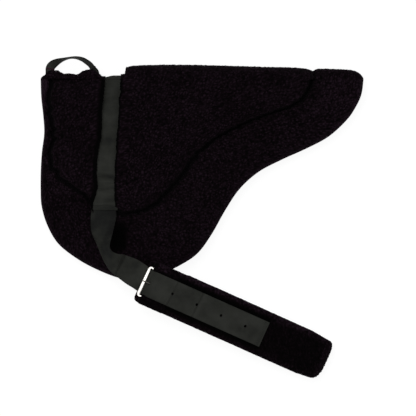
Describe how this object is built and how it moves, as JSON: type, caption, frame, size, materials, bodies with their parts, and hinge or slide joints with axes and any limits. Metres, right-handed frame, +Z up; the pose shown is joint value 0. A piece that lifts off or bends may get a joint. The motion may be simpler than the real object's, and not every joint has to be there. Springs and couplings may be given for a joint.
{
  "type": "bareback pad",
  "caption": "Fleece bareback pad folded in half along its spine, with webbing over the withers, a grab handle and a folded fleece girth on a roller buckle.",
  "frame": {"origin": "on the surface the folded pad lies on, under the middle of its outline", "axes": "+X from the withers to the tail along the spine, +Y from the skirt to the spine, +Z up through the fold"},
  "size_m": [0.618, 0.6146, 0.0756],
  "materials": {
    "fleece": "curly black fleece pile",
    "lining": "flat black lining cloth",
    "foam": "open cell foam",
    "webbing": "dark grey green woven webbing, slight sheen",
    "nickel": "bright nickel plate"
  },
  "bodies": {
    "off_side": {"off_lining": "lining", "off_front_panel": "fleece", "off_front_foam": "foam", "off_seat_panel": "fleece", "off_seat_foam": "foam", "off_skirt_panel": "fleece", "off_channel_strip": "fleece", "off_sewn_webbing": "webbing", "front_spine_roll": "fleece", "channel_spine_roll": "fleece", "seat_spine_roll": "fleece", "tail_spine_roll": "fleece", "withers_webbing_loop": "webbing", "off_billet": "webbing"},
    "near_side": {"near_lining": "lining", "near_front_panel": "fleece", "near_front_foam": "foam", "near_seat_panel": "fleece", "near_seat_foam": "foam", "near_skirt_panel": "fleece", "near_channel_strip": "fleece", "near_sewn_webbing": "webbing"},
    "handle": {"grab_handle": "webbing"},
    "near_strap": {"near_billet": "webbing", "near_buckle_frame": "nickel", "near_girth_lining": "fleece", "near_girth_fleece": "fleece", "near_girth_webbing": "webbing", "girth_fold_roll": "fleece"},
    "strap_tip": {"near_billet_tip": "webbing"},
    "near_roller_tube": {"near_roller": "nickel"},
    "near_tongue_wire": {"near_tongue": "nickel"},
    "girth_lower": {"off_girth_lining": "fleece", "off_girth_fleece": "fleece", "off_girth_webbing": "webbing"},
    "off_buckle": {"off_buckle_frame": "nickel"},
    "off_roller_tube": {"off_roller": "nickel"},
    "off_tongue_wire": {"off_tongue": "nickel"},
    "off_strap_end": {"off_billet_run": "webbing"}
  },
  "joints": [
    {"name": "spine_fold", "type": "hinge", "parent": "off_side", "child": "near_side", "pos_m": [0, 0.2643, 0.0263], "axis": [-1, 0, 0], "range_deg": [0, 140], "deforming": ["front_spine_roll", "channel_spine_roll", "seat_spine_roll", "tail_spine_roll", "withers_webbing_loop"]},
    {"name": "handle_fold", "type": "hinge", "parent": "off_side", "child": "handle", "pos_m": [0, 0.2643, 0.0263], "axis": [-1, 0, 0], "range_deg": [0, 70]},
    {"name": "strap_lift", "type": "hinge", "parent": "near_side", "child": "near_strap", "pos_m": [-0.1865, 0.01164, 0.0466], "axis": [-1, 0, 0], "range_deg": [0, 115]},
    {"name": "strap_tip_lift", "type": "hinge", "parent": "near_strap", "child": "strap_tip", "pos_m": [-0.0457, -0.15053, 0.06509], "axis": [-0.4106, -0.9118, 0], "range_deg": [0, 150]},
    {"name": "near_roller_spin", "type": "hinge", "parent": "near_strap", "child": "near_roller_tube", "pos_m": [-0.11071, -0.12126, 0.06404], "axis": [0.4106, 0.9118, 0], "continuous": true},
    {"name": "near_tongue_play", "type": "hinge", "parent": "near_strap", "child": "near_tongue_wire", "pos_m": [-0.08997, -0.1306, 0.06063], "axis": [0.4106, 0.9118, 0], "range_deg": [0, 3]},
    {"name": "girth_fold", "type": "hinge", "parent": "near_strap", "child": "girth_lower", "pos_m": [0.22305, -0.27153, 0.0185], "axis": [-0.4106, -0.9118, 0], "range_deg": [0, 170], "deforming": ["girth_fold_roll"]},
    {"name": "off_buckle_swing", "type": "hinge", "parent": "girth_lower", "child": "off_buckle", "pos_m": [-0.02588, -0.15945, 0.0052], "axis": [-0.4106, -0.9118, 0], "range_deg": [0, 60]},
    {"name": "off_roller_spin", "type": "hinge", "parent": "off_buckle", "child": "off_roller_tube", "pos_m": [-0.04678, -0.15004, 0.0072], "axis": [-0.4106, -0.9118, 0], "continuous": true},
    {"name": "off_tongue_swing", "type": "hinge", "parent": "off_buckle", "child": "off_tongue_wire", "pos_m": [-0.02588, -0.15945, 0.0052], "axis": [-0.4106, -0.9118, 0], "range_deg": [0, 70]},
    {"name": "off_strap_unfold", "type": "hinge", "parent": "off_side", "child": "off_strap_end", "pos_m": [-0.18756, -0.07693, 0.00345], "axis": [-0.887, 0.4618, 0], "range_deg": [0, 170]}
  ],
  "couplings": [
    {"joint": "handle_fold", "follows": "spine_fold", "ratio": 0.5}
  ]
}
